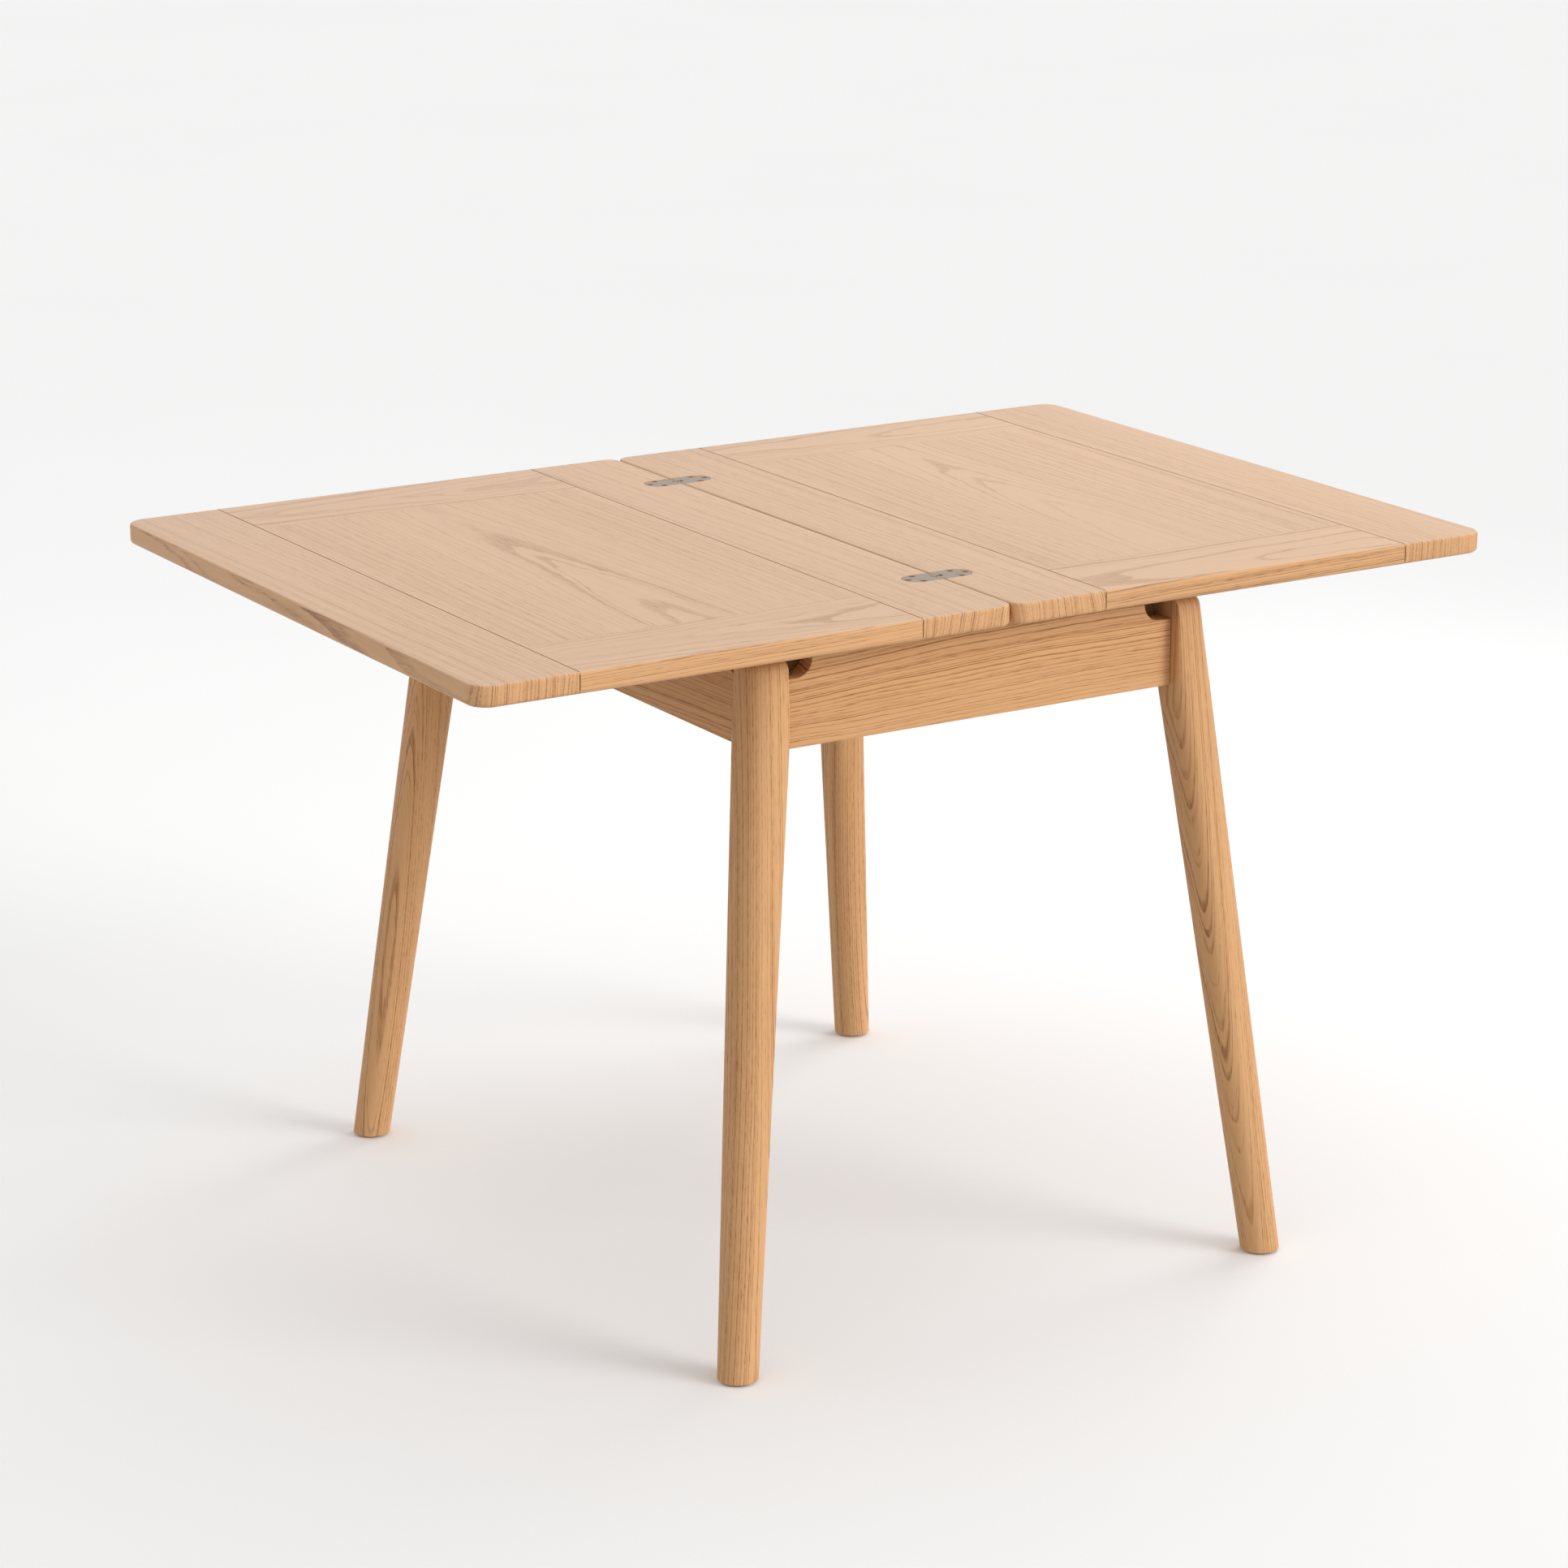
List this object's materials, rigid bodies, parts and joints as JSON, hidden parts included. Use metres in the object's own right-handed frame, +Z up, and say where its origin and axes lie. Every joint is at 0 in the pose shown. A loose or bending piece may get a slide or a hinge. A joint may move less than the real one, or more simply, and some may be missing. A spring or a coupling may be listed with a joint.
{
  "type": "flip-top extending dining table",
  "caption": "Oak dining table shown open: two equal leaves joined by flush hinges on a base with four splayed legs; one leaf flips over and the top slides to centre.",
  "frame": {"origin": "on the floor, under the middle of the open top and the middle of the base", "axes": "+X along the long side of the open top, from the main leaf to the flip leaf; +Y across the table, from the near long side to the far one; +Z up"},
  "size_m": [1.2, 0.85, 0.75],
  "materials": {
    "top_oak": "matt clear lacquer",
    "base_oak": "matt clear lacquer",
    "inner_wood": "planed, unfinished",
    "hinge_steel": "satin",
    "screw_steel": "satin",
    "bolt_steel": "zinc plated",
    "glide_felt": "pressed felt"
  },
  "bodies": {
    "base": {"apron_far": "base_oak", "apron_left": "base_oak", "apron_near": "base_oak", "apron_right": "base_oak", "corner_block_far_left": "inner_wood", "corner_block_far_right": "inner_wood", "corner_block_near_left": "inner_wood", "corner_block_near_right": "inner_wood", "cross_rail": "inner_wood", "foot_glide_far_left": "glide_felt", "foot_glide_far_right": "glide_felt", "foot_glide_near_left": "glide_felt", "foot_glide_near_right": "glide_felt", "leg_bolt_far_left": "bolt_steel", "leg_bolt_far_right": "bolt_steel", "leg_bolt_near_left": "bolt_steel", "leg_bolt_near_right": "bolt_steel", "leg_far_left": "base_oak", "leg_far_right": "base_oak", "leg_near_left": "base_oak", "leg_near_right": "base_oak", "slide_guide_far": "inner_wood", "slide_guide_near": "inner_wood"},
    "main_leaf": {"hinge_pin_main_far": "screw_steel", "hinge_pin_main_near": "screw_steel", "hinge_screw_main_far_1": "screw_steel", "hinge_screw_main_far_2": "screw_steel", "hinge_screw_main_far_3": "screw_steel", "hinge_screw_main_near_1": "screw_steel", "hinge_screw_main_near_2": "screw_steel", "hinge_screw_main_near_3": "screw_steel", "hinge_wing_main_far": "hinge_steel", "hinge_wing_main_near": "hinge_steel", "main_leaf_far_rail": "top_oak", "main_leaf_hinge_stile": "top_oak", "main_leaf_near_rail": "top_oak", "main_leaf_outer_stile": "top_oak", "main_leaf_panel": "top_oak", "runner_far": "inner_wood", "runner_near": "inner_wood"},
    "hinge_links": {"hinge_link_far": "hinge_steel", "hinge_link_near": "hinge_steel"},
    "flip_leaf": {"flip_leaf_far_rail": "top_oak", "flip_leaf_hinge_stile": "top_oak", "flip_leaf_near_rail": "top_oak", "flip_leaf_outer_stile": "top_oak", "flip_leaf_panel": "top_oak", "hinge_pin_flip_far": "screw_steel", "hinge_pin_flip_near": "screw_steel", "hinge_screw_flip_far_1": "screw_steel", "hinge_screw_flip_far_2": "screw_steel", "hinge_screw_flip_far_3": "screw_steel", "hinge_screw_flip_near_1": "screw_steel", "hinge_screw_flip_near_2": "screw_steel", "hinge_screw_flip_near_3": "screw_steel", "hinge_wing_flip_far": "hinge_steel", "hinge_wing_flip_near": "hinge_steel"}
  },
  "joints": [
    {"name": "top_slide", "type": "slide", "parent": "base", "child": "main_leaf", "axis": [1, 0, 0], "range_m": [0, 0.3]},
    {"name": "link_turn", "type": "hinge", "parent": "main_leaf", "child": "hinge_links", "pos_m": [-0.0035, 0, 0.74665], "axis": [0, -1, 0], "range_deg": [0, 90]},
    {"name": "leaf_fold", "type": "hinge", "parent": "hinge_links", "child": "flip_leaf", "pos_m": [0.0035, 0, 0.74665], "axis": [0, -1, 0], "range_deg": [0, 90]}
  ]
}
